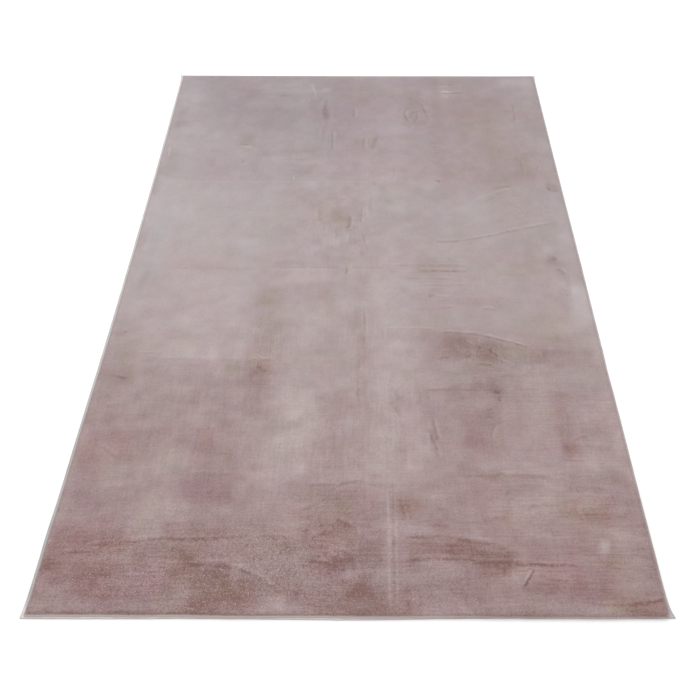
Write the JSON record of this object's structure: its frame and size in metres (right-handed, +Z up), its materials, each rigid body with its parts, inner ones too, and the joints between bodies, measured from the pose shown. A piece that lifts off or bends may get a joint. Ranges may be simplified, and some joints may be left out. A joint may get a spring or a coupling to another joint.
{
  "type": "low pile rug",
  "caption": "Rectangular low pile rug lying flat: a brushed pile cloth with a rolled, stitched edge on a pale backing cloth that shows as a narrow rim.",
  "frame": {"origin": "on the floor, at the middle of the box round the rug's outline", "axes": "+Y along the rug's length from the front edge to the back edge, +X across it to the right, +Z up out of the pile"},
  "size_m": [1.617, 2.3016, 0.0106],
  "materials": {
    "backing": "pale cream felted backing cloth, matt, with a slightly soiled cut edge",
    "pile": "short brushed plush pile in dusty greyed pink, shading darker and browner where the nap lies the other way"
  },
  "bodies": {
    "root": {"backing_cloth": "backing", "pile_cloth": "pile"}
  },
  "joints": []
}
